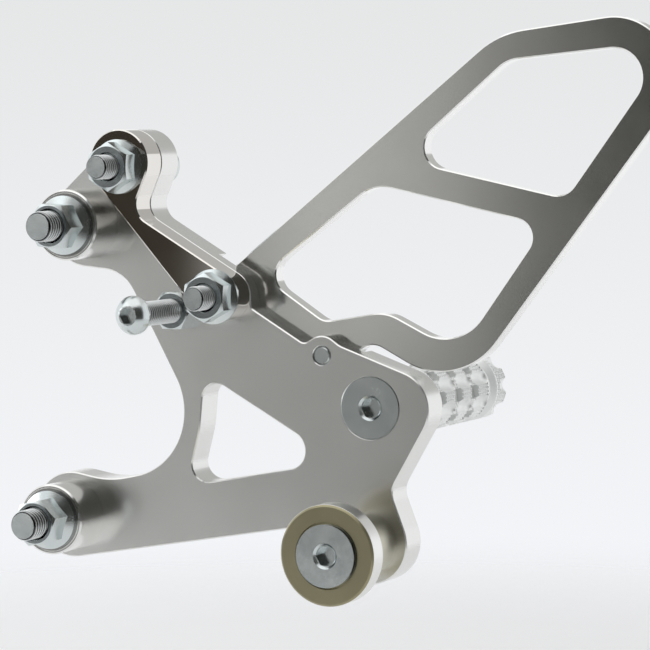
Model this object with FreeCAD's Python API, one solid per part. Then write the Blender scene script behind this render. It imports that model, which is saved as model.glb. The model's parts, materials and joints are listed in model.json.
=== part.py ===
import FreeCAD, Part
import math
import os
from FreeCAD import Vector

# Right-hand rear set of a sport motorcycle: a milled side plate held off the frame by two
# collars, a strip and a heel guard bolted to it, a fixed footpeg and the spool that a brake
# pedal turns on. Millimetres. X runs rearwards, Y outboard, Z up. The origin is the centre
# of the upper collar's bearing face, where the set meets the motorcycle's frame.

# Screw axes across the plates, X and Z from the upper frame axis
UPPER_FRAME = (0.0, 0.0)
LOWER_FRAME = (-6.3, -98.1)
STRIP_TOP = (17.3, 19.3)
STRIP_END = (52.5, -22.6)
STOPPER = (34.7, -27.9)
GUARD_EAR = (86.3, -41.4)
PEG = (103.4, -57.8)
PIVOT = (102.8, -101.4)

# Thicknesses of the stack, from the bearing faces outboard
COLLAR_LENGTH = 15.0
STRIP_THICKNESS = 10.0
PLATE_THICKNESS = 12.0
GUARD_THICKNESS = 6.0

# Edges and fits
EDGE_BREAK = 0.4
SCREW_CLEARANCE = 0.25
THREAD_GAP = 0.05
RUNNING_GAP = 0.08

# Main plate: radii of its lobes, and the hollows between them as X, Z and radius. Each hollow
# is placed from the screw axis that its name begins with.
FRAME_LUG_RADIUS = 14.4
STRIP_TOP_LOBE = (0.0, 1.4, 10.8)
STRIP_END_RADIUS = 8.1
EAR_RADIUS = 6.4
PEG_LUG_RADIUS = 12.4
PEG_LUG_SHIFT = 8.0
PIVOT_LUG_RADIUS = 13.5
UPPER_FRAME_HOLLOW = (5.3, -28.5, 13.5)
LOWER_FRAME_BAY = (19.6, 36.5, 22.6)
LOWER_FRAME_BAY_FOOT = (13.3, 45.7, 32.9)
PIVOT_HEEL_HOLLOW = (-20.6, -2.7, 7.0)
PIVOT_TOP_HOLLOW = (15.5, 16.5, 7.0)
EAR_REAR_HOLLOW = (10.3, 11.3, 8.8)
EAR_FRONT_HOLLOW = (-6.4, 6.5, 2.5)
STRIP_END_HOLLOW = (10.1, -3.0, 1.8)
STRIP_TOP_HOLLOW = (13.1, -12.2, 6.6)

# Three-sided window of the main plate: its corners, and the side that follows the bay
WINDOW_LOWER_CORNER = (44.8, -78.9, 5.7)
WINDOW_REAR_CORNER = (73.7, -72.7, 6.5)
WINDOW_UPPER_CORNER = (48.1, -57.0, 5.2)
WINDOW_FRONT_SIDE = (15.1, -62.2, -27.2)

# Seat milled into the main plate for the heel guard
SEAT_FRONT_RADIUS = 14.5
SEAT_REAR_RADIUS = 12.5
SEAT_OPEN_SIDE = 50.0
SEAT_CUT_PAST = 1.0

# Heel guard: lobes, then the notch above the footpeg and the three round corners of the fan,
# placed from the ear's axis
GUARD_END_RADIUS = 7.5
GUARD_EAR_RADIUS = 8.0
GUARD_NOTCH = (15.5, -3.3, 6.8)
GUARD_BELLY = (38.4, 20.4, 24.8)
GUARD_TIP = (96.6, 88.5, 19.5)
GUARD_SHOULDER = (70.7, 74.6, 29.9)

# Corners of the guard's windows, each placed from the round of the outline that it follows
LOWER_WINDOW_FRONT = (21.2, 6.7, 6.7)
LOWER_WINDOW_EAR = (-0.4, 17.7, 6.8)
LOWER_WINDOW_NOTCH = (2.3, 2.5, 14.6)
LOWER_WINDOW_BELLY = (1.7, 2.0, 16.0)
LOWER_WINDOW_REAR = (25.7, 18.6, 6.0)
LOWER_WINDOW_TOP = (-51.8, -32.9, 12.8)
UPPER_WINDOW_FRONT = (-30.4, -7.2, 7.0)
UPPER_WINDOW_REAR = (-18.3, -29.0, 7.1)
UPPER_WINDOW_TIP = (0.2, 0.4, 9.3)
UPPER_WINDOW_SHOULDER = (-4.4, 9.0, 11.6)

# Collars
COLLAR_RADIUS = 11.7
COLLAR_EDGE = 0.6
COLLAR_GROOVE_RADIUS = 10.4
COLLAR_GROOVE_WIDTH = 0.5
COLLAR_GROOVE_DEPTH = 0.4

# Frame screws, M10, and their flange nuts
FRAME_SCREW_RADIUS = 5.0
FRAME_SCREW_REACH = 18.0
FRAME_HEAD_RADIUS = 8.0
FRAME_HEAD_HEIGHT = 10.0
FRAME_SOCKET_FLATS = 8.0
FRAME_SOCKET_DEPTH = 5.0
FRAME_NUT_FLATS = 14.0
FRAME_NUT_HEIGHT = 11.0
FRAME_NUT_FLANGE_RADIUS = 9.75
FRAME_NUT_RIM = 1.4
UPPER_NUT_TURN = -3.0
LOWER_NUT_TURN = 13.0

# Strip screws, M8, and their flange nuts
STRIP_SCREW_RADIUS = 4.0
STRIP_SCREW_REACH = 15.2
STRIP_HEAD_RADIUS = 6.5
STRIP_HEAD_HEIGHT = 8.0
STRIP_SOCKET_FLATS = 6.0
STRIP_SOCKET_DEPTH = 4.0
STRIP_WASHER_RADIUS = 7.5
STRIP_WASHER_THICKNESS = 1.6
STRIP_NUT_FLATS = 14.0
STRIP_NUT_HEIGHT = 8.0
STRIP_NUT_FLANGE_RADIUS = 8.95
STRIP_NUT_RIM = 1.1
STRIP_NUT_TURN = 30.0

# Heel guard screw, M6 button head
EAR_SCREW_RADIUS = 3.0
EAR_HEAD_RADIUS = 5.25
EAR_HEAD_HEIGHT = 3.3
EAR_SOCKET_FLATS = 4.0
EAR_SOCKET_DEPTH = 2.0

# Pedal stopper, M8 button head screw that is set by a lock nut
STOPPER_SCREW_RADIUS = 4.0
STOPPER_SHANK_LENGTH = 40.0
STOPPER_HEAD_SEAT = -16.8
STOPPER_HEAD_RADIUS = 6.3
STOPPER_HEAD_HEIGHT = 4.2
STOPPER_SOCKET_FLATS = 5.0
STOPPER_SOCKET_DEPTH = 2.6
LOCK_NUT_FLATS = 12.0
LOCK_NUT_HEIGHT = 6.5
LOCK_NUT_TURN = 0.0

# Countersunk M10 screws of the footpeg and the pivot
SUNK_SCREW_RADIUS = 5.0
SUNK_HEAD_RADIUS = 10.0
SUNK_HEAD_RIM = 0.4
SUNK_SOCKET_FLATS = 6.0
SUNK_SOCKET_DEPTH = 4.0
PEG_SCREW_LENGTH = 40.0
PIVOT_SCREW_LENGTH = 45.0

# Pivot spool: the pedal turns on the barrel, between the disc and the plate
SPOOL_LENGTH = 32.0
SPOOL_DISC_RADIUS = 16.1
SPOOL_DISC_THICKNESS = 7.8
SPOOL_EDGE = 0.7
SPOOL_BARREL_RADIUS = 9.75
SPOOL_SINK_RADIUS = 10.7
SPOOL_SINK_DEPTH = 1.6
SPOOL_HEAD_PROUD = 1.2

# Footpeg: rows of long scoops alternate with toothed lands that short pockets part
PEG_RADIUS = 11.4
PEG_LENGTH = 79.6
PEG_EDGE = 0.6
PEG_ROWS = 8
PEG_SCOOP_ANGLE = 26.0
PEG_PITCH = 14.2
PEG_STATIONS = 3
PEG_FIRST_STATION = 28.2
SCOOP_RADIUS = 3.0
SCOOP_STRAIGHT = 7.2
SCOOP_DEPTH = 1.85
POCKET_WIDTH = 6.4
POCKET_SPAN = 4.4
POCKET_DEPTH = 2.3
POCKET_SHIFT = 1.1
NECK_START = 62.6
NECK_LENGTH = 7.3
NECK_RADIUS = 9.6
PEG_THREAD_DEPTH = 32.0

# Planes that follow from the stack
PLATE_INNER = COLLAR_LENGTH
PLATE_OUTER = PLATE_INNER + PLATE_THICKNESS
STRIP_INNER = PLATE_INNER - STRIP_THICKNESS
GUARD_INNER = PLATE_OUTER - GUARD_THICKNESS


def tangent(first, second):
    """End points of the line that leaves the first round and meets the second."""
    x1, z1, r1 = first
    x2, z2, r2 = second
    distance = math.hypot(x2 - x1, z2 - z1)
    lean = math.asin((r2 - r1) / distance)
    heading = math.atan2(z2 - z1, x2 - x1) - lean
    across = (-math.sin(heading), math.cos(heading))
    start = (x1 - r1 * across[0], z1 - r1 * across[1])
    end = (x2 - r2 * across[0], z2 - r2 * across[1])
    return start, end


def round_edge(centre, radius, start, end, y):
    """Arc about a round, anticlockwise where the radius is positive."""
    a0 = math.atan2(start[1] - centre[1], start[0] - centre[0])
    a1 = math.atan2(end[1] - centre[1], end[0] - centre[0])
    if radius > 0:
        sweep = (a1 - a0) % (2 * math.pi)
    else:
        sweep = -((a0 - a1) % (2 * math.pi))
    middle = a0 + sweep / 2
    size = abs(radius)
    crown = Vector(centre[0] + size * math.cos(middle), y, centre[1] + size * math.sin(middle))
    return Part.Arc(Vector(start[0], y, start[1]), crown, Vector(end[0], y, end[1])).toShape()


def outline(rounds, y):
    """Closed wire drawn tight round a list of rounds, each X, Z and radius, anticlockwise.

    A negative radius is a hollow that the line passes on its other side, and zero is a
    sharp corner.
    """
    following = rounds[1:] + rounds[:1]
    lines = [tangent(first, second) for first, second in zip(rounds, following)]
    edges = []
    for number, (x, z, radius) in enumerate(rounds):
        start, end = lines[number - 1][1], lines[number][0]
        if radius:
            edges.append(round_edge((x, z), radius, start, end, y))
        leave, arrive = lines[number]
        edges.append(Part.makeLine(Vector(leave[0], y, leave[1]), Vector(arrive[0], y, arrive[1])))
    return Part.Wire(edges)


def slab(rounds, inner, outer):
    """Plate of an outline between two planes across Y."""
    return Part.Face(outline(rounds, inner)).extrude(Vector(0, outer - inner, 0))


def broken_edges(plate, inner, outer, size=EDGE_BREAK):
    """The plate with its rims chamfered on both faces."""
    rims = []
    for edge in plate.Edges:
        box = edge.BoundBox
        on_face = min(abs(box.YMin - inner), abs(box.YMin - outer)) < 1e-6
        if on_face and box.YLength < 1e-6:
            rims.append(edge)
    return plate.makeChamfer(size, rims)


def beside(axis, place):
    """A round placed from a screw axis."""
    dx, dz, radius = place
    return (axis[0] + dx, axis[1] + dz, radius)


def hollow(axis, place):
    """The same, for a round that the outline passes on its other side."""
    x, z, radius = beside(axis, place)
    return (x, z, -radius)


def turned(axis, profile):
    """Solid turned about a screw axis from pairs of radius and Y."""
    points = [Vector(axis[0] + radius, y, axis[1]) for radius, y in profile]
    points.append(points[0])
    face = Part.Face(Part.makePolygon(points))
    return face.revolve(Vector(axis[0], 0, axis[1]), Vector(0, 1, 0), 360)


def bore(axis, radius, inner, outer):
    """Cylinder along a screw axis, used to cut a hole."""
    return Part.makeCylinder(radius, outer - inner, Vector(axis[0], inner, axis[1]), Vector(0, 1, 0))


def hex_corner(flats):
    """Distance from a hexagon's centre to its corners, from its size across flats."""
    return flats / 2 / math.cos(math.radians(30))


def hexagon(axis, flats, inner, outer, turn=0.0):
    """Hexagonal prism; turn is the angle in degrees from +X to a corner."""
    corner = hex_corner(flats)
    points = []
    for step in range(7):
        angle = math.radians(turn + 60 * step)
        points.append(Vector(axis[0] + corner * math.cos(angle), inner, axis[1] + corner * math.sin(angle)))
    face = Part.Face(Part.makePolygon(points))
    return face.extrude(Vector(0, outer - inner, 0))


def hex_body(axis, flats, inner, outer, turn, ends):
    """Hexagonal prism with its corners turned off at the ends that are named."""
    corner = hex_corner(flats) + EDGE_BREAK
    crown = 0.95 * flats / 2
    fall = (corner - crown) * math.tan(math.radians(30))
    profile = [(0, inner)]
    profile += [(crown, inner), (corner, inner + fall)] if "inner" in ends else [(corner, inner)]
    profile += [(corner, outer - fall), (crown, outer)] if "outer" in ends else [(corner, outer)]
    profile.append((0, outer))
    return hexagon(axis, flats, inner, outer, turn).common(turned(axis, profile))


def threaded_end(axis, radius, tip, towards):
    """Ring that cuts the chamfer on a screw's end; towards is the side the shank lies on."""
    depth = 0.16 * radius
    far = 2 * radius
    profile = [(radius - depth, tip), (far, tip), (far, tip + towards * depth), (radius, tip + towards * depth)]
    return turned(axis, profile)


def main_plate():
    """Milled side plate with a window, screw holes and the seat of the heel guard."""
    peg_lug = (PEG[0] + PEG_LUG_SHIFT, PEG[1], PEG_LUG_RADIUS)
    rounds = [
        (*UPPER_FRAME, FRAME_LUG_RADIUS),
        hollow(UPPER_FRAME, UPPER_FRAME_HOLLOW),
        hollow(LOWER_FRAME, LOWER_FRAME_BAY),
        hollow(LOWER_FRAME, LOWER_FRAME_BAY_FOOT),
        (*LOWER_FRAME, FRAME_LUG_RADIUS),
        hollow(PIVOT, PIVOT_HEEL_HOLLOW),
        (*PIVOT, PIVOT_LUG_RADIUS),
        hollow(PIVOT, PIVOT_TOP_HOLLOW),
        peg_lug,
        hollow(GUARD_EAR, EAR_REAR_HOLLOW),
        (*GUARD_EAR, EAR_RADIUS),
        hollow(GUARD_EAR, EAR_FRONT_HOLLOW),
        hollow(STRIP_END, STRIP_END_HOLLOW),
        (*STRIP_END, STRIP_END_RADIUS),
        hollow(STRIP_TOP, STRIP_TOP_HOLLOW),
        beside(STRIP_TOP, STRIP_TOP_LOBE),
    ]
    window = [WINDOW_LOWER_CORNER, WINDOW_REAR_CORNER, WINDOW_UPPER_CORNER, WINDOW_FRONT_SIDE]
    plate = slab(rounds, PLATE_INNER, PLATE_OUTER)
    plate = plate.cut(slab(window, PLATE_INNER, PLATE_OUTER))
    plate = broken_edges(plate, PLATE_INNER, PLATE_OUTER)
    seat_edge = GUARD_EAR[0] + SEAT_REAR_RADIUS
    seat = [
        (*STRIP_END, SEAT_FRONT_RADIUS),
        (*GUARD_EAR, SEAT_REAR_RADIUS),
        (seat_edge, GUARD_EAR[1] + SEAT_OPEN_SIDE, 0),
    ]
    plate = plate.cut(slab(seat, GUARD_INNER, PLATE_OUTER + SEAT_CUT_PAST))
    holes = [
        (UPPER_FRAME, FRAME_SCREW_RADIUS + SCREW_CLEARANCE),
        (LOWER_FRAME, FRAME_SCREW_RADIUS + SCREW_CLEARANCE),
        (STRIP_TOP, STRIP_SCREW_RADIUS + SCREW_CLEARANCE),
        (STRIP_END, STRIP_SCREW_RADIUS + SCREW_CLEARANCE),
        (STOPPER, STOPPER_SCREW_RADIUS + RUNNING_GAP),
        (GUARD_EAR, EAR_SCREW_RADIUS + THREAD_GAP),
        (PEG, SUNK_SCREW_RADIUS + SCREW_CLEARANCE),
        (PIVOT, SUNK_SCREW_RADIUS + THREAD_GAP),
    ]
    for axis, radius in holes:
        plate = plate.cut(bore(axis, radius, PLATE_INNER, PLATE_OUTER))
    plate = plate.cut(countersink(PEG, PLATE_INNER))
    return plate.cut(hole_mouth(GUARD_EAR, EAR_SCREW_RADIUS, PLATE_INNER))


def countersink(axis, face):
    """Cone that seats a countersunk head whose top lies level with the face."""
    mouth = SUNK_HEAD_RADIUS + SUNK_HEAD_RIM
    return turned(axis, [(0, face), (mouth, face), (0, face + mouth)])


def hole_mouth(axis, radius, face):
    """Chamfer at the mouth of a threaded hole that opens inboard."""
    mouth = radius + EDGE_BREAK
    return turned(axis, [(0, face), (mouth, face), (0, face + mouth)])


def upper_strip_plate():
    """Doubling strip between the upper lobe and the heel guard's front screw."""
    rounds = [
        beside(STRIP_TOP, STRIP_TOP_LOBE),
        (*STRIP_END, STRIP_END_RADIUS),
        hollow(STRIP_TOP, STRIP_TOP_HOLLOW),
    ]
    strip = broken_edges(slab(rounds, STRIP_INNER, PLATE_INNER), STRIP_INNER, PLATE_INNER)
    for axis in (STRIP_TOP, STRIP_END):
        strip = strip.cut(bore(axis, STRIP_SCREW_RADIUS + SCREW_CLEARANCE, STRIP_INNER, PLATE_INNER))
    return strip


def heel_guard():
    """Fan-shaped guard with two windows, let into the main plate's outboard side."""
    notch = hollow(GUARD_EAR, GUARD_NOTCH)
    belly = beside(GUARD_EAR, GUARD_BELLY)
    tip = beside(GUARD_EAR, GUARD_TIP)
    shoulder = beside(GUARD_EAR, GUARD_SHOULDER)
    rounds = [(*STRIP_END, GUARD_END_RADIUS), (*GUARD_EAR, GUARD_EAR_RADIUS), notch, belly, tip, shoulder]
    lower_window = [
        beside(STRIP_END, LOWER_WINDOW_FRONT),
        beside(GUARD_EAR, LOWER_WINDOW_EAR),
        hollow(notch, LOWER_WINDOW_NOTCH),
        beside(belly, LOWER_WINDOW_BELLY),
        beside(belly, LOWER_WINDOW_REAR),
        beside(shoulder, LOWER_WINDOW_TOP),
    ]
    upper_window = [
        beside(shoulder, UPPER_WINDOW_FRONT),
        beside(tip, UPPER_WINDOW_REAR),
        beside(tip, UPPER_WINDOW_TIP),
        beside(shoulder, UPPER_WINDOW_SHOULDER),
    ]
    guard = slab(rounds, GUARD_INNER, PLATE_OUTER)
    for window in (lower_window, upper_window):
        guard = guard.cut(slab(window, GUARD_INNER, PLATE_OUTER))
    guard = broken_edges(guard, GUARD_INNER, PLATE_OUTER)
    guard = guard.cut(bore(STRIP_END, STRIP_SCREW_RADIUS + SCREW_CLEARANCE, GUARD_INNER, PLATE_OUTER))
    return guard.cut(bore(GUARD_EAR, EAR_SCREW_RADIUS + SCREW_CLEARANCE, GUARD_INNER, PLATE_OUTER))


def frame_collar(axis):
    """Turned spacer between the motorcycle's frame and the main plate."""
    collar = turned(axis, [
        (0, 0),
        (COLLAR_RADIUS - COLLAR_EDGE, 0),
        (COLLAR_RADIUS, COLLAR_EDGE),
        (COLLAR_RADIUS, COLLAR_LENGTH),
        (0, COLLAR_LENGTH),
    ])
    groove_end = COLLAR_GROOVE_RADIUS + COLLAR_GROOVE_WIDTH
    groove = turned(axis, [
        (COLLAR_GROOVE_RADIUS, 0),
        (groove_end, 0),
        (groove_end, COLLAR_GROOVE_DEPTH),
        (COLLAR_GROOVE_RADIUS, COLLAR_GROOVE_DEPTH),
    ])
    return collar.cut(groove).cut(bore(axis, FRAME_SCREW_RADIUS + SCREW_CLEARANCE, 0, COLLAR_LENGTH))


def cap_screw(axis, seat, tip, radius, head_radius, head_height, socket_flats, socket_depth):
    """Socket cap screw with its head outboard of the seat and its end at the tip."""
    top = seat + head_height
    screw = turned(axis, [
        (0, tip),
        (radius, tip),
        (radius, seat),
        (head_radius, seat),
        (head_radius, top - EDGE_BREAK),
        (head_radius - EDGE_BREAK, top),
        (0, top),
    ])
    screw = screw.cut(hexagon(axis, socket_flats, top - socket_depth, top))
    return screw.cut(threaded_end(axis, radius, tip, 1))


def washer(axis, screw_radius, radius, thickness):
    """Plain washer on the outboard face."""
    outer = PLATE_OUTER + thickness
    return bore(axis, radius, PLATE_OUTER, outer).cut(bore(axis, screw_radius + SCREW_CLEARANCE, PLATE_OUTER, outer))


def flange_nut(axis, seat, screw_radius, flats, height, flange_radius, rim, turn):
    """Flange nut whose flange bears outboard on the seat."""
    face = seat - height
    throat = 0.98 * flats / 2
    slope = math.tan(math.radians(25))
    flange = turned(axis, [
        (0, seat),
        (flange_radius, seat),
        (flange_radius, seat - rim),
        (throat, seat - rim - (flange_radius - throat) * slope),
        (0, seat - rim - (flange_radius - throat) * slope),
    ])
    nut = flange.fuse(hex_body(axis, flats, face, seat, turn, ["inner"]))
    nut = nut.cut(bore(axis, screw_radius + THREAD_GAP, face, seat))
    mouth = screw_radius + 2 * EDGE_BREAK
    return nut.cut(turned(axis, [(0, face), (mouth, face), (0, face + mouth)]))


def frame_screw(axis):
    """M10 screw that clamps the main plate and a collar to the motorcycle's frame."""
    return cap_screw(
        axis,
        PLATE_OUTER,
        -FRAME_SCREW_REACH,
        FRAME_SCREW_RADIUS,
        FRAME_HEAD_RADIUS,
        FRAME_HEAD_HEIGHT,
        FRAME_SOCKET_FLATS,
        FRAME_SOCKET_DEPTH,
    )


def frame_nut(axis, turn):
    """M10 flange nut on the collar's bearing face."""
    return flange_nut(
        axis,
        0,
        FRAME_SCREW_RADIUS,
        FRAME_NUT_FLATS,
        FRAME_NUT_HEIGHT,
        FRAME_NUT_FLANGE_RADIUS,
        FRAME_NUT_RIM,
        turn,
    )


def strip_screw(axis):
    """M8 screw that clamps the strip to the plates."""
    seat = PLATE_OUTER + STRIP_WASHER_THICKNESS
    return cap_screw(
        axis,
        seat,
        STRIP_INNER - STRIP_SCREW_REACH,
        STRIP_SCREW_RADIUS,
        STRIP_HEAD_RADIUS,
        STRIP_HEAD_HEIGHT,
        STRIP_SOCKET_FLATS,
        STRIP_SOCKET_DEPTH,
    )


def strip_nut(axis):
    """M8 flange nut on the strip's inboard face."""
    return flange_nut(
        axis,
        STRIP_INNER,
        STRIP_SCREW_RADIUS,
        STRIP_NUT_FLATS,
        STRIP_NUT_HEIGHT,
        STRIP_NUT_FLANGE_RADIUS,
        STRIP_NUT_RIM,
        STRIP_NUT_TURN,
    )


def domed_head(axis, seat, side, shank_radius, radius, height):
    """Button head on the named side of its seat, a dome over a short cylinder."""
    flat = 0.5 * radius
    rim = 0.12 * height
    rise = height - rim
    bulge = (radius * radius - flat * flat - rise * rise) / (2 * rise)
    sphere_radius = math.hypot(flat, rise + bulge)
    top = seat + side * height
    head = bore(axis, radius, min(seat, top), max(seat, top))
    centre = Vector(axis[0], seat + side * (rim - bulge), axis[1])
    head = head.common(Part.makeSphere(sphere_radius, centre))
    return head.fuse(bore(axis, shank_radius, min(seat, top), max(seat, top)).common(head))


def heel_guard_screw():
    """M6 button head screw from outboard into the plate's ear."""
    seat = PLATE_OUTER
    top = seat + EAR_HEAD_HEIGHT
    head = domed_head(GUARD_EAR, seat, 1, EAR_SCREW_RADIUS, EAR_HEAD_RADIUS, EAR_HEAD_HEIGHT)
    screw = head.fuse(bore(GUARD_EAR, EAR_SCREW_RADIUS, PLATE_INNER, seat))
    screw = screw.cut(hexagon(GUARD_EAR, EAR_SOCKET_FLATS, top - EAR_SOCKET_DEPTH, top))
    return screw.cut(threaded_end(GUARD_EAR, EAR_SCREW_RADIUS, PLATE_INNER, 1))


def stopper_bolt():
    """Screw whose round head stops the brake pedal; its seat travels as it is set."""
    tip = STOPPER_HEAD_SEAT + STOPPER_SHANK_LENGTH
    top = STOPPER_HEAD_SEAT - STOPPER_HEAD_HEIGHT
    head = domed_head(
        STOPPER,
        STOPPER_HEAD_SEAT,
        -1,
        STOPPER_SCREW_RADIUS,
        STOPPER_HEAD_RADIUS,
        STOPPER_HEAD_HEIGHT,
    )
    screw = head.fuse(bore(STOPPER, STOPPER_SCREW_RADIUS, STOPPER_HEAD_SEAT, tip))
    screw = screw.cut(hexagon(STOPPER, STOPPER_SOCKET_FLATS, top, top + STOPPER_SOCKET_DEPTH))
    return screw.cut(threaded_end(STOPPER, STOPPER_SCREW_RADIUS, tip, -1))


def stopper_lock_nut():
    """Plain nut that locks the stopper against the plate's inboard face."""
    face = PLATE_INNER - LOCK_NUT_HEIGHT
    nut = hex_body(STOPPER, LOCK_NUT_FLATS, face, PLATE_INNER, LOCK_NUT_TURN, ["inner", "outer"])
    return nut.cut(bore(STOPPER, STOPPER_SCREW_RADIUS + RUNNING_GAP, face, PLATE_INNER))


def countersunk_screw(axis, top, length):
    """Countersunk screw whose head's top faces inboard."""
    shoulder = top + SUNK_HEAD_RIM + SUNK_HEAD_RADIUS - SUNK_SCREW_RADIUS
    tip = top + length
    screw = turned(axis, [
        (0, top),
        (SUNK_HEAD_RADIUS, top),
        (SUNK_HEAD_RADIUS, top + SUNK_HEAD_RIM),
        (SUNK_SCREW_RADIUS, shoulder),
        (SUNK_SCREW_RADIUS, tip),
        (0, tip),
    ])
    screw = screw.cut(hexagon(axis, SUNK_SOCKET_FLATS, top, top + SUNK_SOCKET_DEPTH))
    return screw.cut(threaded_end(axis, SUNK_SCREW_RADIUS, tip, -1))


def footpeg_bolt():
    """Countersunk M10 screw, level with the plate, that holds the footpeg."""
    return countersunk_screw(PEG, PLATE_INNER, PEG_SCREW_LENGTH)


def pivot_bolt():
    """Countersunk M10 screw that holds the spool, a little proud of its disc."""
    top = PLATE_INNER - SPOOL_LENGTH - SPOOL_HEAD_PROUD
    return countersunk_screw(PIVOT, top, PIVOT_SCREW_LENGTH)


def pivot_spool():
    """Flanged spool that carries the brake pedal's hub."""
    face = PLATE_INNER - SPOOL_LENGTH
    disc_back = face + SPOOL_DISC_THICKNESS
    spool = turned(PIVOT, [
        (0, face),
        (SPOOL_DISC_RADIUS - SPOOL_EDGE, face),
        (SPOOL_DISC_RADIUS, face + SPOOL_EDGE),
        (SPOOL_DISC_RADIUS, disc_back - EDGE_BREAK),
        (SPOOL_DISC_RADIUS - EDGE_BREAK, disc_back),
        (SPOOL_BARREL_RADIUS, disc_back),
        (SPOOL_BARREL_RADIUS, PLATE_INNER),
        (0, PLATE_INNER),
    ])
    spool = spool.cut(bore(PIVOT, SPOOL_SINK_RADIUS, face, face + SPOOL_SINK_DEPTH))
    spool = spool.cut(bore(PIVOT, SUNK_SCREW_RADIUS + SCREW_CLEARANCE, face, PLATE_INNER))
    return spool.cut(countersink(PIVOT, face - SPOOL_HEAD_PROUD))


def around_peg(shape, angle):
    """The shape turned about the footpeg's axis."""
    copy = shape.copy()
    copy.rotate(Vector(PEG[0], 0, PEG[1]), Vector(0, 1, 0), -angle)
    return copy


def scoop(station):
    """Long round-ended cutter over the +X side of the footpeg."""
    radial = PEG[0] + PEG_RADIUS - SCOOP_DEPTH + SCOOP_RADIUS
    first = Vector(radial, station - SCOOP_STRAIGHT / 2, PEG[1])
    last = Vector(radial, station + SCOOP_STRAIGHT / 2, PEG[1])
    middle = Part.makeCylinder(SCOOP_RADIUS, SCOOP_STRAIGHT, first, Vector(0, 1, 0))
    ends = [Part.makeSphere(SCOOP_RADIUS, first), Part.makeSphere(SCOOP_RADIUS, last)]
    return middle.fuse(ends).removeSplitter()


def pocket(station):
    """Square cutter between two toothed lands, over the +X side of the footpeg."""
    floor = PEG[0] + PEG_RADIUS - POCKET_DEPTH
    corner = Vector(floor, station - POCKET_WIDTH / 2, PEG[1] - POCKET_SPAN / 2)
    return Part.makeBox(2 * POCKET_DEPTH, POCKET_WIDTH, POCKET_SPAN, corner)


def footpeg():
    """Fixed footpeg, turned with a neck, then milled in rows all round."""
    end = PLATE_OUTER + PEG_LENGTH
    neck = PLATE_OUTER + NECK_START
    slope = PEG_RADIUS - NECK_RADIUS
    peg = turned(PEG, [
        (0, PLATE_OUTER),
        (PEG_RADIUS - PEG_EDGE, PLATE_OUTER),
        (PEG_RADIUS, PLATE_OUTER + PEG_EDGE),
        (PEG_RADIUS, neck),
        (NECK_RADIUS, neck + slope),
        (NECK_RADIUS, neck + NECK_LENGTH - slope),
        (PEG_RADIUS, neck + NECK_LENGTH),
        (PEG_RADIUS, end - PEG_EDGE),
        (PEG_RADIUS - PEG_EDGE, end),
        (0, end),
    ])
    row_step = 360 / PEG_ROWS
    cutters = []
    for row in range(PEG_ROWS):
        scoop_angle = PEG_SCOOP_ANGLE + row * row_step
        pocket_angle = scoop_angle + row_step / 2
        for number in range(PEG_STATIONS):
            station = PLATE_OUTER + PEG_FIRST_STATION + number * PEG_PITCH
            cutters.append(around_peg(scoop(station), scoop_angle))
            cutters.append(around_peg(pocket(station - PEG_PITCH / 2 + POCKET_SHIFT), pocket_angle))
        cutters.append(around_peg(scoop(end), pocket_angle))
    peg = peg.cut(cutters)
    return peg.cut(bore(PEG, SUNK_SCREW_RADIUS + THREAD_GAP, PLATE_OUTER, PLATE_OUTER + PEG_THREAD_DEPTH))


def build():
    """Every piece under the name of its node."""
    return {
        "main_plate": main_plate(),
        "upper_strip_plate": upper_strip_plate(),
        "heel_guard": heel_guard(),
        "upper_frame_collar": frame_collar(UPPER_FRAME),
        "lower_frame_collar": frame_collar(LOWER_FRAME),
        "upper_frame_bolt": frame_screw(UPPER_FRAME),
        "lower_frame_bolt": frame_screw(LOWER_FRAME),
        "upper_frame_nut": frame_nut(UPPER_FRAME, UPPER_NUT_TURN),
        "lower_frame_nut": frame_nut(LOWER_FRAME, LOWER_NUT_TURN),
        "strip_top_bolt": strip_screw(STRIP_TOP),
        "strip_end_bolt": strip_screw(STRIP_END),
        "strip_top_nut": strip_nut(STRIP_TOP),
        "strip_end_nut": strip_nut(STRIP_END),
        "strip_top_washer": washer(STRIP_TOP, STRIP_SCREW_RADIUS, STRIP_WASHER_RADIUS, STRIP_WASHER_THICKNESS),
        "strip_end_washer": washer(STRIP_END, STRIP_SCREW_RADIUS, STRIP_WASHER_RADIUS, STRIP_WASHER_THICKNESS),
        "heel_guard_screw": heel_guard_screw(),
        "stopper_bolt": stopper_bolt(),
        "stopper_lock_nut": stopper_lock_nut(),
        "footpeg": footpeg(),
        "footpeg_bolt": footpeg_bolt(),
        "pivot_spool": pivot_spool(),
        "pivot_bolt": pivot_bolt(),
    }


os.makedirs("parts", exist_ok=True)
for name, shape in build().items():
    shape.exportStep(f"parts/{name}.step")
    size = shape.BoundBox
    print(f"{name:20s} solids {len(shape.Solids)} valid {shape.isValid()} volume {shape.Volume:9.1f}",
          f"Y {size.YMin:.1f}..{size.YMax:.1f}")
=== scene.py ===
import json
import math

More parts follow.
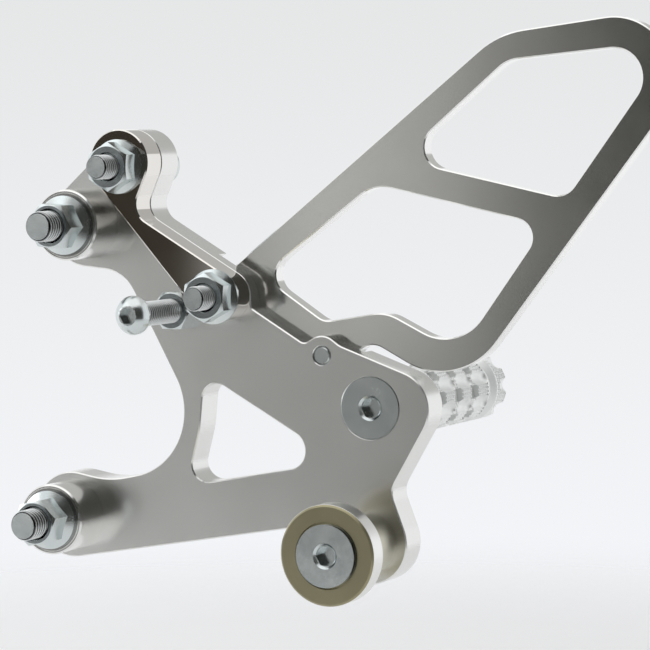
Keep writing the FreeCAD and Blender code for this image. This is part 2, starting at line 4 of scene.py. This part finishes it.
import bpy
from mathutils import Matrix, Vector


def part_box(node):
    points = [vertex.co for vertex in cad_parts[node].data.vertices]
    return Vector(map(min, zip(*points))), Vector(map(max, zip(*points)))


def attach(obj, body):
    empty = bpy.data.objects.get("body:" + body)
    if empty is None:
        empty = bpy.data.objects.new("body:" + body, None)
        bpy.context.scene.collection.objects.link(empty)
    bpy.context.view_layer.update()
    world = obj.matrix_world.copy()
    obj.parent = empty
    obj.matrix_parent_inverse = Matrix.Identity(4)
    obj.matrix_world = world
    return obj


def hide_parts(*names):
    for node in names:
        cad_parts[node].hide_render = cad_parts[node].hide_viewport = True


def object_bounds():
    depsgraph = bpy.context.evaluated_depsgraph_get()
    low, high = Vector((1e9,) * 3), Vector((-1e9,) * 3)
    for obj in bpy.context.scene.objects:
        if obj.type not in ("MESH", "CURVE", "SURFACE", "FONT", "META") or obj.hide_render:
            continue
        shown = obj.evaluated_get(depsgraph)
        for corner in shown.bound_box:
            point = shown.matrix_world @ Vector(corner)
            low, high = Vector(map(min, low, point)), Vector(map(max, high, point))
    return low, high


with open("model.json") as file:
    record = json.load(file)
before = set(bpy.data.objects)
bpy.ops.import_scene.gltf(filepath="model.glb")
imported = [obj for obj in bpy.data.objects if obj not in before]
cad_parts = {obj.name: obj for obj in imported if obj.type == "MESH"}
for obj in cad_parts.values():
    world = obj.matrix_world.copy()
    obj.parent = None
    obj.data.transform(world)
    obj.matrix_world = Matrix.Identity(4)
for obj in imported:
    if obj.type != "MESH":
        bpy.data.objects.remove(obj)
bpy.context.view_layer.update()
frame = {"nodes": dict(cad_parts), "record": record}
bpy.ops.object.select_all(action="DESELECT")
nodes = frame["nodes"]
millimetre = 0.001
print("frame loaded, nodes:", len(nodes))


# Places read from the frame

def axisOf(node):
    low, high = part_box(node)
    return (low[0] + high[0]) / 2, (low[2] + high[2]) / 2


def bodyOf(node):
    for joint in frame["record"]["behaviour"]["bodies"].items():
        if node in joint[1]:
            return joint[0]


# Small helpers for working as by hand

def workOn(piece):
    bpy.ops.object.select_all(action="DESELECT")
    piece.select_set(True)
    bpy.context.view_layer.objects.active = piece


def inEditMode(piece, *steps):
    workOn(piece)
    bpy.ops.object.mode_set(mode="EDIT")
    for step in steps:
        bpy.ops.mesh.select_all(action="SELECT")
        step()
    bpy.ops.object.mode_set(mode="OBJECT")


def applyModifiers(piece):
    workOn(piece)
    for modifier in list(piece.modifiers):
        bpy.ops.object.modifier_apply(modifier=modifier.name)


def copyOfNode(node, name):
    mesh = nodes[node].data.copy()
    piece = bpy.data.objects.new(name, mesh)
    bpy.context.scene.collection.objects.link(piece)
    workOn(piece)
    bpy.ops.mesh.customdata_custom_splitnormals_clear()
    inEditMode(piece, lambda: bpy.ops.mesh.remove_doubles(threshold=0.000001))
    return piece


def cutWith(piece, cutter):
    cut = piece.modifiers.new("cut", "BOOLEAN")
    cut.operation = "DIFFERENCE"
    cut.solver = "EXACT"
    cut.object = cutter
    applyModifiers(piece)
    bpy.data.objects.remove(cutter)


# The cuts leave slivers thinner than a few microns, which are dissolved
def finishPiece(piece, node, sharpAngle, sliver=0.000002):
    inEditMode(
        piece,
        lambda: bpy.ops.mesh.remove_doubles(threshold=sliver),
        lambda: bpy.ops.mesh.dissolve_degenerate(threshold=sliver),
    )
    workOn(piece)
    bpy.ops.object.shade_smooth_by_angle(angle=math.radians(sharpAngle))
    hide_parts(node)
    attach(piece, bodyOf(node))


# Threads: a V groove is wound round the shank and cut out of it

frameThread = {
    "pitch": 1.5 * millimetre,
    "depth": 0.92 * millimetre,
    "radius": 5.0 * millimetre,
    "length": 32 * millimetre,
    "steps": 40,
}
stripThread = {
    "pitch": 1.25 * millimetre,
    "depth": 0.77 * millimetre,
    "radius": 4.0 * millimetre,
    "length": 22 * millimetre,
    "steps": 36,
}
stopperThread = {**stripThread, "length": 39 * millimetre}


def cutThread(node, thread, tip, towards):
    piece = copyOfNode(node, node + "_threaded")
    x, z = axisOf(node)
    outside = 0.05 * millimetre
    halfWidth = thread["pitch"] / 2 * 7 / 8 * (1 + outside / thread["depth"])
    root = thread["radius"] - thread["depth"]
    bpy.ops.mesh.primitive_circle_add(vertices=3, radius=1, fill_type="NOTHING", location=(x, tip, z))
    groove = bpy.context.object
    rim = thread["radius"] + outside
    corners = [(root, 0, 0), (rim, halfWidth, 0), (rim, -halfWidth, 0)]
    for vertex, corner in zip(groove.data.vertices, corners):
        vertex.co = corner
    wind = groove.modifiers.new("wind", "SCREW")
    wind.axis = "Y"
    wind.screw_offset = towards * thread["pitch"]
    wind.iterations = round(thread["length"] / thread["pitch"])
    wind.steps = wind.render_steps = thread["steps"]
    wind.use_merge_vertices = False
    applyModifiers(groove)
    inEditMode(
        groove,
        lambda: bpy.ops.mesh.fill_holes(sides=3),
        lambda: bpy.ops.transform.translate(value=(0, -towards * thread["pitch"], 0)),
        lambda: bpy.ops.mesh.normals_make_consistent(inside=False),
    )
    workOn(groove)
    bpy.ops.object.transform_apply(location=True, rotation=True, scale=True)
    cutWith(piece, groove)
    finishPiece(piece, node, 28)
    return piece


threads = {
    "upper_frame_bolt": (frameThread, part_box("upper_frame_bolt")[0][1], 1),
    "lower_frame_bolt": (frameThread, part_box("lower_frame_bolt")[0][1], 1),
    "strip_top_bolt": (stripThread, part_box("strip_top_bolt")[0][1], 1),
    "strip_end_bolt": (stripThread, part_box("strip_end_bolt")[0][1], 1),
    "stopper_bolt": (stopperThread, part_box("stopper_bolt")[1][1], -1),
}
threaded = {node: cutThread(node, *entry) for node, entry in threads.items()}
print("threads cut:", [len(piece.data.polygons) for piece in threaded.values()])


# Countersunk screws: the mouth of each socket is opened by a shallow cone

socketMouth = {"radius": 4.1 * millimetre, "depth": 0.75 * millimetre, "slope": 1.0, "past": 0.2 * millimetre}


def openSocket(node):
    piece = copyOfNode(node, node + "_opened")
    low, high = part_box(node)
    x, z = axisOf(node)
    past, depth = socketMouth["past"], socketMouth["depth"]
    wide = socketMouth["radius"] + past * socketMouth["slope"]
    narrow = socketMouth["radius"] - depth * socketMouth["slope"]
    bpy.ops.mesh.primitive_cone_add(
        vertices=64,
        radius1=narrow,
        radius2=wide,
        depth=past + depth,
        location=(x, low[1] + (depth - past) / 2, z),
        rotation=(math.radians(90), 0, 0),
    )
    cone = bpy.context.object
    bpy.ops.object.transform_apply(location=True, rotation=True, scale=True)
    cutWith(piece, cone)
    finishPiece(piece, node, 28)
    return piece


opened = [openSocket(node) for node in ("footpeg_bolt", "pivot_bolt")]
print("sockets opened:", [len(piece.data.polygons) for piece in opened])


# Footpeg: a knurl left rows of teeth on its lands, parted by grooves along it and round it

pegTeeth = {
    "across": 56,
    "rowPitch": 1.5 * millimetre,
    "depth": 0.5 * millimetre,
    "halfWidth": 0.52 * millimetre,
    "past": 0.1 * millimetre,
    "ringSteps": 96,
    "spans": ((0.4 * millimetre, 9.3 * millimetre), (17.3 * millimetre, 68.0 * millimetre)),
}


def grooveSection(place, corners, filled):
    fill = "NGON" if filled else "NOTHING"
    bpy.ops.mesh.primitive_circle_add(vertices=3, radius=1, fill_type=fill, location=place)
    section = bpy.context.object
    for vertex, corner in zip(section.data.vertices, corners):
        vertex.co = corner
    return section


def groovesAlong(x, z, root, rim, start, end):
    width = pegTeeth["halfWidth"]
    grooves = grooveSection((x, start, z), [(root, 0, 0), (rim, 0, width), (rim, 0, -width)], True)
    workOn(grooves)
    bpy.ops.object.transform_apply(location=True, rotation=True, scale=True)
    copies = pegTeeth["across"] - 1
    sweep = 2 * math.pi * copies / pegTeeth["across"]
    inEditMode(
        grooves,
        lambda: bpy.ops.mesh.extrude_region_move(TRANSFORM_OT_translate={"value": (0, end - start, 0)}),
        lambda: bpy.ops.mesh.normals_make_consistent(inside=False),
        lambda: bpy.ops.mesh.spin(steps=copies, dupli=True, angle=sweep, center=(x, 0, z), axis=(0, 1, 0)),
        lambda: bpy.ops.mesh.normals_make_consistent(inside=False),
    )
    return grooves


def groovesRound(x, z, root, rim, start, end):
    width = pegTeeth["halfWidth"]
    rows = int((end - start) / pegTeeth["rowPitch"])
    first = (start + end - (rows - 1) * pegTeeth["rowPitch"]) / 2
    grooves = grooveSection((x, first, z), [(root, 0, 0), (rim, width, 0), (rim, -width, 0)], False)
    wind = grooves.modifiers.new("wind", "SCREW")
    wind.axis = "Y"
    wind.steps = wind.render_steps = pegTeeth["ringSteps"]
    wind.use_merge_vertices = True
    repeat = grooves.modifiers.new("rows", "ARRAY")
    repeat.count = rows
    repeat.use_relative_offset = False
    repeat.use_constant_offset = True
    repeat.constant_offset_displace = (0, pegTeeth["rowPitch"], 0)
    applyModifiers(grooves)
    bpy.ops.object.transform_apply(location=True, rotation=True, scale=True)
    inEditMode(grooves, lambda: bpy.ops.mesh.normals_make_consistent(inside=False))
    return grooves


def toothedPeg():
    piece = copyOfNode("footpeg", "footpeg_toothed")
    low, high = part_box("footpeg")
    x, z = axisOf("footpeg")
    radius = (high[0] - low[0]) / 2
    root, rim = radius - pegTeeth["depth"], radius + pegTeeth["past"]
    for nearest, farthest in pegTeeth["spans"]:
        for makeGrooves in (groovesAlong, groovesRound):
            cutWith(piece, makeGrooves(x, z, root, rim, high[1] - farthest, high[1] - nearest))
    finishPiece(piece, "footpeg", 28, sliver=0.0000003)
    return piece


toothed = toothedPeg()
print("footpeg toothed:", len(toothed.data.polygons))


# Materials

def shaderGroup(name, inputs, outputs):
    group = bpy.data.node_groups.new(name, "ShaderNodeTree")
    for label, kind, value in inputs:
        socket = group.interface.new_socket(name=label, in_out="INPUT", socket_type=kind)
        if value is not None:
            socket.default_value = value
    for label, kind in outputs:
        group.interface.new_socket(name=label, in_out="OUTPUT", socket_type=kind)
    return group, group.nodes.new("NodeGroupInput"), group.nodes.new("NodeGroupOutput")


def mathNode(tree, operation, *values):
    node = tree.nodes.new("ShaderNodeMath")
    node.operation = operation
    for slotNumber, value in enumerate(values):
        if isinstance(value, (int, float)):
            node.inputs[slotNumber].default_value = value
        else:
            tree.links.new(value, node.inputs[slotNumber])
    return node.outputs[0]


def rangeNode(tree, value, low, high, toLow, toHigh, smooth=False):
    node = tree.nodes.new("ShaderNodeMapRange")
    node.interpolation_type = "SMOOTHSTEP" if smooth else "LINEAR"
    entries = {"Value": value, "From Min": low, "From Max": high, "To Min": toLow, "To Max": toHigh}
    for slotName, entry in entries.items():
        if isinstance(entry, (int, float)):
            node.inputs[slotName].default_value = entry
        else:
            tree.links.new(entry, node.inputs[slotName])
    return node.outputs["Result"]


def noiseNode(tree, vector, scale, detail=2.0, rough=0.5):
    node = tree.nodes.new("ShaderNodeTexNoise")
    node.inputs["Detail"].default_value = detail
    node.inputs["Roughness"].default_value = rough
    tree.links.new(vector, node.inputs["Vector"])
    if isinstance(scale, (int, float)):
        node.inputs["Scale"].default_value = scale
    else:
        tree.links.new(scale, node.inputs["Scale"])
    return node.outputs["Fac"]


def mixColours(tree, factor, first, second):
    node = tree.nodes.new("ShaderNodeMix")
    node.data_type = "RGBA"
    if isinstance(factor, (int, float)):
        node.inputs["Factor"].default_value = factor
    else:
        tree.links.new(factor, node.inputs["Factor"])
    for slotName, colour in [("A", first), ("B", second)]:
        socket = [s for s in node.inputs if s.name == slotName and s.type == "RGBA"][0]
        if isinstance(colour, (tuple, list)):
            socket.default_value = (*colour, 1)
        else:
            tree.links.new(colour, socket)
    return [s for s in node.outputs if s.type == "RGBA"][0]


# Fine grain of a blasted, plated or polished surface, and broad faint clouds in its gloss
grain, grainIn, grainOut = shaderGroup(
    "surfaceGrain",
    [
        ("Vector", "NodeSocketVector", None),
        ("Grain Scale", "NodeSocketFloat", 3000.0),
        ("Cloud Scale", "NodeSocketFloat", 40.0),
        ("Roughness Low", "NodeSocketFloat", 0.2),
        ("Roughness High", "NodeSocketFloat", 0.3),
    ],
    [("Roughness", "NodeSocketFloat"), ("Height", "NodeSocketFloat"), ("Cloud", "NodeSocketFloat")],
)
fine = noiseNode(grain, grainIn.outputs["Vector"], grainIn.outputs["Grain Scale"], 2.0, 0.6)
cloud = noiseNode(grain, grainIn.outputs["Vector"], grainIn.outputs["Cloud Scale"], 3.0, 0.55)
finePart = mathNode(grain, "MULTIPLY", fine, 0.4)
cloudPart = mathNode(grain, "MULTIPLY", cloud, 0.6)
blend = mathNode(grain, "ADD", finePart, cloudPart)
gloss = rangeNode(grain, blend, 0.3, 0.7, grainIn.outputs["Roughness Low"], grainIn.outputs["Roughness High"])
grain.links.new(gloss, grainOut.inputs["Roughness"])
grain.links.new(fine, grainOut.inputs["Height"])
grain.links.new(cloud, grainOut.inputs["Cloud"])

# Fine rings that a lathe tool leaves about the Y axis of its vector, and the distance from that axis
rings, ringsIn, ringsOut = shaderGroup(
    "latheRings",
    [("Vector", "NodeSocketVector", None), ("Spacing", "NodeSocketFloat", 0.0002)],
    [("Height", "NodeSocketFloat"), ("Radius", "NodeSocketFloat")],
)
flatten = rings.nodes.new("ShaderNodeVectorMath")
flatten.operation = "MULTIPLY"
flatten.inputs[1].default_value = (1, 0, 1)
rings.links.new(ringsIn.outputs["Vector"], flatten.inputs[0])
distance = rings.nodes.new("ShaderNodeVectorMath")
distance.operation = "LENGTH"
rings.links.new(flatten.outputs["Vector"], distance.inputs[0])
split = rings.nodes.new("ShaderNodeSeparateXYZ")
rings.links.new(ringsIn.outputs["Vector"], split.inputs[0])
along = mathNode(rings, "ADD", distance.outputs["Value"], split.outputs["Y"])
phase = mathNode(rings, "DIVIDE", along, ringsIn.outputs["Spacing"])
wave = mathNode(rings, "SINE", mathNode(rings, "MULTIPLY", phase, 2 * math.pi))
rings.links.new(mathNode(rings, "MULTIPLY_ADD", wave, 0.5, 0.5), ringsOut.inputs["Height"])
rings.links.new(distance.outputs["Value"], ringsOut.inputs["Radius"])


def startMaterial(name, axis=None):
    material = bpy.data.materials.new(name)
    material.use_nodes = True
    tree = material.node_tree
    place = tree.nodes.new("ShaderNodeTexCoord").outputs["Object"]
    if axis:
        centre = tree.nodes.new("ShaderNodeMapping")
        centre.inputs["Location"].default_value = (-axis[0], 0, -axis[1])
        tree.links.new(place, centre.inputs["Vector"])
        place = centre.outputs["Vector"]
    return material, tree, tree.nodes["Principled BSDF"], place


def placeGroup(tree, group, place, **values):
    node = tree.nodes.new("ShaderNodeGroup")
    node.node_tree = group
    tree.links.new(place, node.inputs["Vector"])
    for label, value in values.items():
        node.inputs[label.replace("_", " ")].default_value = value
    return node


def bumpFrom(tree, height, strength, depth):
    bump = tree.nodes.new("ShaderNodeBump")
    bump.inputs["Strength"].default_value = strength
    bump.inputs["Distance"].default_value = depth
    tree.links.new(height, bump.inputs["Height"])
    return bump.outputs["Normal"]


def plainMetal(name, look):
    material, tree, shader, place = startMaterial(name)
    texture = placeGroup(
        tree, grain, place,
        Grain_Scale=look["grainScale"],
        Cloud_Scale=look["cloudScale"],
        Roughness_Low=look["roughness"][0],
        Roughness_High=look["roughness"][1],
    )
    shader.inputs["Metallic"].default_value = look["metallic"]
    colour = mixColours(tree, texture.outputs["Cloud"], look["colours"][0], look["colours"][1])
    tree.links.new(colour, shader.inputs["Base Color"])
    tree.links.new(texture.outputs["Roughness"], shader.inputs["Roughness"])
    normal = bumpFrom(tree, texture.outputs["Height"], look["bump"], look["bumpDepth"])
    tree.links.new(normal, shader.inputs["Normal"])
    return material


def bandMask(tree, turning, along, band):
    mask = None
    if "radius" in band:
        mask = rangeNode(tree, turning.outputs["Radius"], band["radius"][0], band["radius"][1], 0.0, 1.0)
    if "along" in band:
        first, last = band["along"]
        edge = 0.03 * millimetre
        rise = rangeNode(tree, along, first, first + edge, 0.0, 1.0)
        fall = rangeNode(tree, along, last - edge, last, 1.0, 0.0)
        run = mathNode(tree, "MULTIPLY", rise, fall)
        mask = run if mask is None else mathNode(tree, "MULTIPLY", mask, run)
    return mask


# A turned piece. Each band is a part of it, by distance from the axis and along it, with a colour and finish
# of its own; some bands are painted light or painted shade, such as thread crests and roots and dark faces.
def turnedMetal(name, look, axis, bands=()):
    material, tree, shader, place = startMaterial(name, axis)
    texture = placeGroup(
        tree, grain, place,
        Grain_Scale=look["grainScale"],
        Cloud_Scale=look["cloudScale"],
        Roughness_Low=look["roughness"][0],
        Roughness_High=look["roughness"][1],
    )
    turning = placeGroup(tree, rings, place, Spacing=look["spacing"])
    split = tree.nodes.new("ShaderNodeSeparateXYZ")
    tree.links.new(place, split.inputs[0])
    colour = mixColours(tree, texture.outputs["Cloud"], look["colours"][0], look["colours"][1])
    metallic, roughness = look["metallic"], texture.outputs["Roughness"]
    for band in bands:
        mask = bandMask(tree, turning, split.outputs["Y"], band)
        colour = mixColours(tree, mask, colour, band["colour"])
        if "metallic" in band:
            metallic = rangeNode(tree, mask, 0.0, 1.0, metallic, band["metallic"])
        if "rougher" in band:
            roughness = mathNode(tree, "MULTIPLY_ADD", mask, band["rougher"], roughness)
    tree.links.new(colour, shader.inputs["Base Color"])
    if isinstance(metallic, float):
        shader.inputs["Metallic"].default_value = metallic
    else:
        tree.links.new(metallic, shader.inputs["Metallic"])
    tree.links.new(roughness, shader.inputs["Roughness"])
    grainPart = mathNode(tree, "MULTIPLY", texture.outputs["Height"], 0.3)
    height = mathNode(tree, "ADD", turning.outputs["Height"], grainPart)
    tree.links.new(bumpFrom(tree, height, look["bump"], look["bumpDepth"]), shader.inputs["Normal"])
    return material


plateLook = {
    "colours": ((0.80, 0.80, 0.78), (0.84, 0.84, 0.82)),
    "metallic": 1.0,
    "roughness": (0.21, 0.26),
    "grainScale": 2600.0,
    "cloudScale": 30.0,
    "bump": 0.12,
    "bumpDepth": 0.00002,
}
stripLook = {
    **plateLook,
    "colours": ((0.80, 0.77, 0.73), (0.84, 0.81, 0.77)),
    "roughness": (0.03, 0.06),
    "bump": 0.01,
}
guardLook = {**plateLook, "colours": ((0.87, 0.87, 0.85), (0.91, 0.91, 0.89)), "roughness": (0.12, 0.17)}
collarLook = {
    "colours": ((0.80, 0.80, 0.78), (0.86, 0.86, 0.84)),
    "metallic": 1.0,
    "roughness": (0.16, 0.24),
    "grainScale": 1800.0,
    "cloudScale": 60.0,
    "spacing": 0.00025,
    "bump": 0.10,
    "bumpDepth": 0.00001,
}
zincLook = {
    "colours": ((0.60, 0.66, 0.68), (0.72, 0.75, 0.73)),
    "metallic": 1.0,
    "roughness": (0.16, 0.28),
    "grainScale": 1500.0,
    "cloudScale": 160.0,
    "bump": 0.06,
    "bumpDepth": 0.00002,
    "spacing": 0.00025,
}
# Painted light on thread crests and painted shade in thread roots
threadPaintedLightAndShade = {
    "crest": {"colour": (0.84, 0.86, 0.86), "metallic": 0.72, "rougher": 0.16},
    "root": {"colour": (0.05, 0.052, 0.052)},
}
# Painted shade on the faces of nuts and collars turned to the frame
nutFacePaintedShade = (0.33, 0.36, 0.37)
collarFacePaintedShade = (0.40, 0.40, 0.39)
pegLook = {
    **plateLook,
    "colours": ((0.86, 0.87, 0.86), (0.90, 0.91, 0.90)),
    "metallic": 0.95,
    "roughness": (0.45, 0.55),
}
spoolLook = {
    **collarLook,
    "colours": ((0.33, 0.30, 0.19), (0.37, 0.34, 0.22)),
    "roughness": (0.28, 0.36),
}
spoolBands = [
    {"radius": (0.01598, 0.01606), "colour": (0.88, 0.88, 0.86)},
    {"radius": (0.00985, 0.00980), "colour": (0.62, 0.60, 0.50)},
]

plateMetal = plainMetal("satinPlateAluminium", plateLook)
stripMetal = plainMetal("polishedStripAluminium", stripLook)
guardMetal = plainMetal("satinGuardAluminium", guardLook)
pegMetal = plainMetal("satinPegAluminium", pegLook)
zincMetal = plainMetal("brightZincPlate", zincLook)
spoolMetal = turnedMetal("oliveSpoolAluminium", spoolLook, axisOf("pivot_spool"), spoolBands)

# A thread's crests are rougher and painted lighter (painted light), its roots painted dark (painted shade in
# the grooves)
def paintedLightAndShadeThreadBands(thread, tip, towards):
    ends = sorted((tip + towards * 0.03 * millimetre, tip + towards * (thread["length"] + thread["pitch"])))
    crest, root = thread["radius"] - 0.06 * millimetre, thread["radius"] - 0.45 * millimetre
    return [
        {"radius": (root, crest), "along": ends, **threadPaintedLightAndShade["crest"]},
        {"radius": (crest, root), "along": ends, **threadPaintedLightAndShade["root"]},
    ]


# The face turned to the frame is painted darker than the sides: painted shade standing in for the dark
# reflection of the tent's open side
def paintedShadeFaceBands(node, colour):
    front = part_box(node)[0][1]
    return [{"along": (front - 0.10 * millimetre, front + 0.06 * millimetre), "colour": colour}]


nodeMaterials = {
    "main_plate": plateMetal,
    "upper_strip_plate": stripMetal,
    "heel_guard": guardMetal,
    "footpeg": pegMetal,
    "pivot_spool": spoolMetal,
}
# Collar faces turned to the frame get painted shade
for node in ("upper_frame_collar", "lower_frame_collar"):
    bands = paintedShadeFaceBands(node, collarFacePaintedShade)
    nodeMaterials[node] = turnedMetal(node + "Aluminium", collarLook, axisOf(node), bands)


def dress(piece, material):
    piece.data.materials.clear()
    piece.data.materials.append(material)


# Nut faces turned to the frame get painted shade
for node in nodes:
    if node.endswith("_nut"):
        nodeMaterials[node] = turnedMetal(node + "Zinc", zincLook, axisOf(node), paintedShadeFaceBands(node, nutFacePaintedShade))
for node, piece in nodes.items():
    dress(piece, nodeMaterials.get(node, zincMetal))
# Threaded pieces: painted light on the crests, painted shade in the roots
for node, piece in threaded.items():
    dress(piece, turnedMetal(node + "Zinc", zincLook, axisOf(node), paintedLightAndShadeThreadBands(*threads[node])))
for piece in opened:
    dress(piece, zincMetal)
dress(toothed, pegMetal)
print("materials placed")


# Floor, world and lamps

floorLook = {"radius": 0.55, "drop": 0.06, "colour": (0.985, 0.985, 0.99), "fadeFrom": 0.22}
low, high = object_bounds()
middle = (low + high) / 2
bpy.ops.mesh.primitive_circle_add(
    vertices=96,
    radius=floorLook["radius"],
    fill_type="NGON",
    location=(middle.x, middle.y, low.z - floorLook["drop"]),
)
floor = bpy.context.object
floor.name = "floor"
paint = bpy.data.materials.new("paleFloor")
paint.use_nodes = True
tree = paint.node_tree
shader = tree.nodes["Principled BSDF"]
shader.inputs["Base Color"].default_value = (*floorLook["colour"], 1)
shader.inputs["Roughness"].default_value = 0.6
clear = tree.nodes.new("ShaderNodeBsdfTransparent")
reach = tree.nodes.new("ShaderNodeVectorMath")
reach.operation = "LENGTH"
tree.links.new(tree.nodes.new("ShaderNodeTexCoord").outputs["Object"], reach.inputs[0])
fadeFrom, fadeTo = floorLook["fadeFrom"], floorLook["radius"]
fade = rangeNode(tree, reach.outputs["Value"], fadeFrom, fadeTo, 0.0, 1.0, smooth=True)
blendShaders = tree.nodes.new("ShaderNodeMixShader")
tree.links.new(fade, blendShaders.inputs["Fac"])
tree.links.new(shader.outputs[0], blendShaders.inputs[1])
tree.links.new(clear.outputs[0], blendShaders.inputs[2])
tree.links.new(blendShaders.outputs[0], tree.nodes["Material Output"].inputs["Surface"])
dress(floor, paint)

# A white tent. Its open side, where the photographer stands, is dark, with a grey flap beside
# it and a dark pole in that flap. Angles are azimuth and elevation in degrees.
tent = {
    "white": (0.95, 0.96, 0.97),
    "backdropLow": (0.91, 0.925, 0.955),
    "backdropHigh": (0.775, 0.785, 0.785),
    "softEdge": 1.0,
}
tentParts = [
    {"colour": (0.60, 0.60, 0.585), "azimuth": (-33.0, -21.0), "elevation": (-4.5, 50.0)},
    {"colour": (0.29, 0.29, 0.28), "azimuth": (-33.0, -21.0), "elevation": (-40.0, -4.5)},
    {"colour": (0.040, 0.034, 0.026), "azimuth": (-31.0, -26.8), "elevation": (-6.0, 6.0)},
    {"colour": (0.045, 0.045, 0.040), "azimuth": (-22.3, 70.0), "elevation": (-40.0, 50.0)},
    {"colour": (0.50, 0.50, 0.49), "azimuth": (150.0, 190.0), "elevation": (13.0, 50.0)},
    {"colour": (0.72, 0.72, 0.72), "azimuth": (-190.0, 190.0), "elevation": (54.0, 95.0)},
    {"colour": (0.50, 0.50, 0.49), "azimuth": (-190.0, -150.0), "elevation": (13.0, 50.0)},
]
world = bpy.data.worlds.new("tent")
bpy.context.scene.world = world
world.use_nodes = True
tree = world.node_tree
way = tree.nodes.new("ShaderNodeSeparateXYZ")
tree.links.new(tree.nodes.new("ShaderNodeTexCoord").outputs["Generated"], way.inputs[0])
azimuth = mathNode(tree, "ARCTAN2", way.outputs["X"], mathNode(tree, "MULTIPLY", way.outputs["Y"], -1.0))
elevation = mathNode(tree, "ARCSINE", way.outputs["Z"])


def inside(value, limits):
    soft = math.radians(tent["softEdge"])
    first, last = math.radians(limits[0]), math.radians(limits[1])
    rise = rangeNode(tree, value, first - soft, first + soft, 0.0, 1.0, smooth=True)
    fall = rangeNode(tree, value, last - soft, last + soft, 1.0, 0.0, smooth=True)
    return mathNode(tree, "MULTIPLY", rise, fall)


tentColour = tent["white"]
for part in tentParts:
    mask = mathNode(tree, "MULTIPLY", inside(azimuth, part["azimuth"]), inside(elevation, part["elevation"]))
    tentColour = mixColours(tree, mask, tentColour, part["colour"])
backdropHeight = rangeNode(tree, elevation, math.radians(-12), math.radians(6), 0.0, 1.0, smooth=True)
backdrop = mixColours(tree, backdropHeight, tent["backdropLow"], tent["backdropHigh"])
seen = tree.nodes.new("ShaderNodeLightPath").outputs["Is Camera Ray"]
tree.links.new(mixColours(tree, seen, tentColour, backdrop), tree.nodes["Background"].inputs["Color"])
tree.nodes["Background"].inputs["Strength"].default_value = 1.0

lamps = {
    "topSoftbox": {"place": (-0.15, -0.25, 0.75), "size": 1.1, "power": 1.8},
    "sideSoftbox": {"place": (-0.75, -0.35, 0.10), "size": 0.4, "power": 0.9},
}
for name, lamp in lamps.items():
    bpy.ops.object.light_add(type="AREA", location=lamp["place"])
    light = bpy.context.object
    light.name = name
    light.data.size = lamp["size"]
    light.data.energy = lamp["power"]
    aim = Vector((0.07, 0.02, -0.03)) - light.location
    light.rotation_mode = "QUATERNION"
    light.rotation_quaternion = aim.to_track_quat("-Z", "Y")
print("floor, tent and lamps set")


# Camera where the photographer stood: angles in degrees, lengths in metres

shot = {
    "azimuth": 24.9,
    "elevation": 3.9,
    "distance": 0.9683,
    "target": (0.08753, 0.015, -0.03144),
    "focalPixels": 3000.0,
    "imagePixels": 650.0,
    "sensor": 36.0,
}
turn, lift = math.radians(shot["azimuth"]), math.radians(shot["elevation"])
back = Vector((math.sin(turn) * math.cos(lift), -math.cos(turn) * math.cos(lift), math.sin(lift)))
camera = bpy.data.objects.new("camera", bpy.data.cameras.new("camera"))
bpy.context.scene.collection.objects.link(camera)
camera.location = Vector(shot["target"]) + back * shot["distance"]
camera.rotation_mode = "QUATERNION"
camera.rotation_quaternion = (-back).to_track_quat("-Z", "Y")
camera.data.sensor_width = shot["sensor"]
camera.data.lens = shot["sensor"] * shot["focalPixels"] / shot["imagePixels"]
camera.data.clip_start, camera.data.clip_end = 0.01, 20
bpy.context.scene.camera = camera
bpy.context.scene.view_settings.view_transform = "Standard"

bpy.ops.object.select_all(action="DESELECT")
